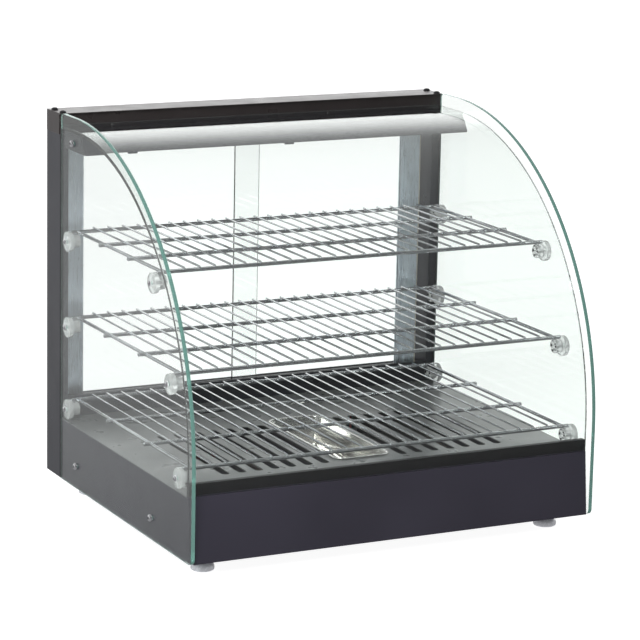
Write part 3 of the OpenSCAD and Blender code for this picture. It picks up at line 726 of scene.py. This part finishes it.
# ---------------------------------------------------------------- screws and feet

def hexagon(across):
    """Radius of a hexagon of that width across its flats, as a function of the angle."""
    return lambda a: across / 2 / math.cos((a % (TAU / 6)) - TAU / 12)


def button_screw(bm, tip, axis, head_r, head_h, socket, shank_r, length):
    """Button head screw with a hexagon socket; axis points out of the head, tip is its top."""
    rim = 0.25 * MM
    rings = [(-length, 0), (-length, shank_r * 0.8), (-length + 0.4 * MM, shank_r)]
    rings += [(-head_h, shank_r), (-head_h, head_r - 0.1 * MM), (-head_h + rim, head_r)]
    top_r = socket * 0.62
    for i in range(1, 7):
        a = math.radians(15 * i)
        h = -head_h + rim + (head_h - rim) * math.sin(a)
        rings.append((h, top_r + (head_r - top_r) * math.cos(a)))
    rings += [(-0.05 * MM, hexagon(socket)), (-head_h * 0.65, hexagon(socket * 0.97))]
    rings += [(-head_h * 0.8, socket * 0.2), (-head_h * 0.8, 0)]
    loft(bm, tip, axis, rings, 36)


def screws(node, axis_of, head_h, socket, shank_r, slot):
    """Rebuilds each screw of a node. axis_of(box centre) is the way its head points."""
    bm = bmesh.new()
    for lo, hi in solids(node):
        middle = (lo + hi) / 2
        axis = Vector(axis_of(middle))
        size = hi - lo
        k = max(range(3), key=lambda i: abs(axis[i]))
        head_r = max(size[i] for i in range(3) if i != k) / 2
        tip = middle.copy()
        tip[k] = hi[k] if axis[k] > 0 else lo[k]
        button_screw(bm, tip, axis, head_r, head_h, socket, shank_r, size[k])
    piece(node + "_turned", bm, FINISHES[slot], "case", [node])


def sideways(middle):
    """Away from the middle of the case, to the left or the right."""
    return (math.copysign(1, middle.x), 0, 0)


def levelling_feet(node):
    """Turned foot pads with a threaded stem and a nut inside the base."""
    bm = bmesh.new()
    pad_r, stem_r = 14.5 * MM, 5 * MM
    pad_h, dome_h = 4 * MM, 7 * MM
    thread = 1.5 * MM
    for lo, hi in solids(node):
        middle = (lo + hi) / 2
        rings = [(0, 0), (0, pad_r - 1.2 * MM), (0.6 * MM, pad_r - 0.3 * MM), (1.2 * MM, pad_r)]
        rings += [(pad_h - 0.6 * MM, pad_r)]
        for i in range(1, 8):
            a = math.radians(12 * i)
            rings.append((pad_h - 0.6 * MM + (dome_h + 0.6 * MM) * math.sin(a),
                          stem_r + (pad_r - stem_r) * math.cos(a)))
        z = pad_h + dome_h + 0.4 * MM
        while z < 20 * MM:
            rings += [(z, stem_r), (z + thread * 0.5, stem_r - 0.7 * MM)]
            z += thread
        top = hi.z - lo.z
        rings += [(21.6 * MM, 3 * MM), (top - 4.5 * MM, 3 * MM)]
        rings += [(top - 4.5 * MM, hexagon(10 * MM)), (top, hexagon(10 * MM)), (top, 0)]
        loft(bm, (middle.x, middle.y, lo.z), (0, 0, 1), rings, 48)
    piece("levelling_feet", bm, FINISHES["chrome_foot"], "case", [node])


# ---------------------------------------------------------------- knob

def thermostat_knob(node):
    """Fluted knob on a round skirt, with a pale pointer set into the skirt and the top."""
    lo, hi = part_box(node)
    skirt_r = (hi.z - lo.z) / 2
    grip_r = skirt_r - 5 * MM
    flutes = 16
    reach = hi.y - lo.y
    centre = Vector(((lo.x + hi.x) / 2, lo.y, (lo.z + hi.z) / 2))

    def fluted(r, depth):
        return lambda a: r - depth * (0.5 + 0.5 * math.cos(flutes * a)) ** 2

    rings = [(0, 3.2 * MM), (0, skirt_r - 0.6 * MM), (0.6 * MM, skirt_r), (2.6 * MM, skirt_r)]
    rings += [(3.6 * MM, skirt_r - 0.8 * MM), (4 * MM, skirt_r - 2 * MM), (4 * MM, grip_r + 0.6 * MM)]
    rings += [(4.6 * MM, fluted(grip_r, 0.5 * MM)), (5.4 * MM, fluted(grip_r, 1.1 * MM))]
    rings += [(reach - 1.6 * MM, fluted(grip_r - 0.5 * MM, 1.0 * MM))]
    rings += [(reach - 0.5 * MM, fluted(grip_r - 1.1 * MM, 0.6 * MM)), (reach, grip_r - 2.4 * MM)]
    rings += [(reach - 0.4 * MM, grip_r - 3.4 * MM), (reach - 0.5 * MM, 0)]
    bm = bmesh.new()
    loft(bm, centre, (0, 1, 0), rings, 96)
    piece("knob_grip", bm, FINISHES["knob_plastic"], "thermostat", [node])
    bm = bmesh.new()
    start = centre + Vector((0, 3.2 * MM, grip_r + 0.8 * MM))
    round_rod(bm, start, start + Vector((0, 0, 3.2 * MM)), 1.0 * MM, 12, 0.8)
    top = centre + Vector((0, reach - 0.9 * MM, 2 * MM))
    round_rod(bm, top, top + Vector((0, 0, grip_r - 5.5 * MM)), 0.8 * MM, 12, 0.8)
    piece("knob_pointer", bm, FINISHES["ceramic_white"], "thermostat")


# ---------------------------------------------------------------- floor and light

FLOOR_HALF = 14
WHITE_FLOOR_GLOW = 0.93
SCATTER_GLOW = 0.5
WHITE_SKY = 1.1


def floor():
    """White sweep. Straight from the lens it is plain white with a faint shadow; in reflections
    it is the dim floor of a studio that grows brighter towards the back wall."""
    bm = bmesh.new()
    bmesh.ops.create_grid(bm, x_segments=1, y_segments=1, size=FLOOR_HALF)
    mesh = bpy.data.meshes.new("floor")
    bm.to_mesh(mesh)
    bm.free()
    obj = bpy.data.objects.new("floor", mesh)
    bpy.context.scene.collection.objects.link(obj)
    f = Finish("floor_white", (0.5, 0.5, 0.5), 0.9, Specular_IOR_Level=0.05)
    f.set("Emission Color", (1, 1, 1, 1))
    f.set("Emission Strength", WHITE_FLOOR_GLOW)
    dim = f.node("ShaderNodeBsdfDiffuse")
    dim.inputs["Color"].default_value = (0.2, 0.2, 0.205, 1)
    glow = f.node("ShaderNodeEmission")
    towards_wall = f.ranged(f.place("Object")["Y"], -0.3, 1.0, 0.06, 0.4)
    scattered = f.node("ShaderNodeLightPath").outputs["Is Diffuse Ray"]
    f.link(f.maths("MULTIPLY_ADD", scattered, SCATTER_GLOW, towards_wall), glow.inputs["Strength"])
    studio = f.node("ShaderNodeAddShader")
    f.link(dim.outputs["BSDF"], studio.inputs[0])
    f.link(glow.outputs["Emission"], studio.inputs[1])
    shown = f.either(f.seen_directly(), studio.outputs["Shader"], f.shader.outputs["BSDF"])
    f.link(shown, f.out.inputs["Surface"])
    mesh.materials.append(f.material)


def sky():
    """White straight from the lens. In reflections and as light it is a studio: a bright wall behind
    the case, a soft ceiling, lit sides, and a dim room behind the camera."""
    world = bpy.data.worlds.new("studio")
    bpy.context.scene.world = world
    world.use_nodes = True
    g = Graph(world.node_tree)
    out = g.node("ShaderNodeOutputWorld")
    studio = g.node("ShaderNodeBackground")
    white = g.node("ShaderNodeBackground")
    way = g.place("Generated")

    def faded(axis, *span):
        return g.ranged(way[axis], *span, smooth=True)

    wall = g.maths("MULTIPLY", faded("Y", 0.2, 0.75, 0.0, 1.4), faded("Z", 0.36, 0.64, 1.0, 0.12))
    wall = g.maths("MULTIPLY", wall, faded("X", -0.7, 0.2, 0.45, 1.0))
    ceiling = faded("Z", 0.3, 0.95, 0.0, 0.16)
    room = faded("Y", -0.6, 0.4, 0.11, 0.3)
    room = g.maths("ADD", room, faded("X", 0.65, 0.95, 0.0, 0.6))
    room = g.maths("ADD", room, faded("X", -0.95, -0.65, 0.6, 0.0))
    g.link(g.maths("ADD", g.maths("ADD", wall, ceiling), room), studio.inputs["Strength"])
    studio.inputs["Color"].default_value = (1, 1, 1, 1)
    white.inputs["Color"].default_value = (1, 1, 1, 1)
    white.inputs["Strength"].default_value = WHITE_SKY
    shown = g.either(g.seen_directly(), studio.outputs["Background"], white.outputs["Background"])
    g.link(shown, out.inputs["Surface"])


def softbox(name, at, aim, width, height, power):
    """Area light that lights the case but does not show in its glass."""
    data = bpy.data.lights.new(name, "AREA")
    data.shape = "RECTANGLE"
    data.size = width
    data.size_y = height
    data.energy = power
    obj = bpy.data.objects.new(name, data)
    obj.location = at
    obj.rotation_euler = (Vector(aim) - Vector(at)).to_track_quat("-Z", "Y").to_euler()
    obj.visible_glossy = False
    bpy.context.scene.collection.objects.link(obj)


# ---------------------------------------------------------------- build

# Way the heads point, then head height, socket width and shank radius in mm, then the slot.
SCREWS = {
    "holder_screws": (sideways, 2.2, 2.5, 2, "chrome_screw"),
    "glass_screws": (sideways, 3.8, 3.5, 2, "chrome_screw"),
    "top_screws": (lambda middle: (0, 0, 1), 3, 3.5, 1.5, "black_screw"),
    "lamp_screws": (lambda middle: (0, -1, 0), 1.8, 2, 1.5, "chrome_screw"),
    "panel_screws": (lambda middle: (0, 1, 0), 2, 2.5, 2, "chrome_screw"),
    "bottom_screws": (lambda middle: (0, 0, -1), 2, 2.5, 2, "chrome_screw"),
}
ON_A_GLASS = ("base_shell", "left_lamp_bracket", "right_lamp_bracket")
GLASS_BOUNCES = 24
CLEAR_BOUNCES = 32

dress_cad_nodes()
for node_name, edge_width in SOFT_EDGES.items():
    soften(node_name, edge_width)
for node_name in ON_A_GLASS:
    clear_of_glass(node_name)
bent_front_glass("curved_front_glass")
for shelf in ("top_shelf", "middle_shelf", "bottom_shelf"):
    wire_shelf(shelf)
pressed_tray("water_tray")
shelf_holders("left_shelf_holders", -1)
shelf_holders("right_shelf_holders", 1)
for node_name, (head_axis, *sizes, screw_slot) in SCREWS.items():
    screws(node_name, head_axis, *[size * MM for size in sizes], screw_slot)
levelling_feet("feet")
thermostat_knob("thermostat_knob")
floor()
sky()
softbox("key", (-1.2, -1.2, 1.2), (0, -0.1, 0.15), 0.9, 0.9, 42)
softbox("overhead", (-0.5, -0.2, 2.2), (0, 0, 0.2), 1.4, 1.1, 6)

scene = bpy.context.scene
scene.view_settings.view_transform = "Standard"
scene.cycles.max_bounces = GLASS_BOUNCES
scene.cycles.transmission_bounces = GLASS_BOUNCES
scene.cycles.transparent_max_bounces = CLEAR_BOUNCES
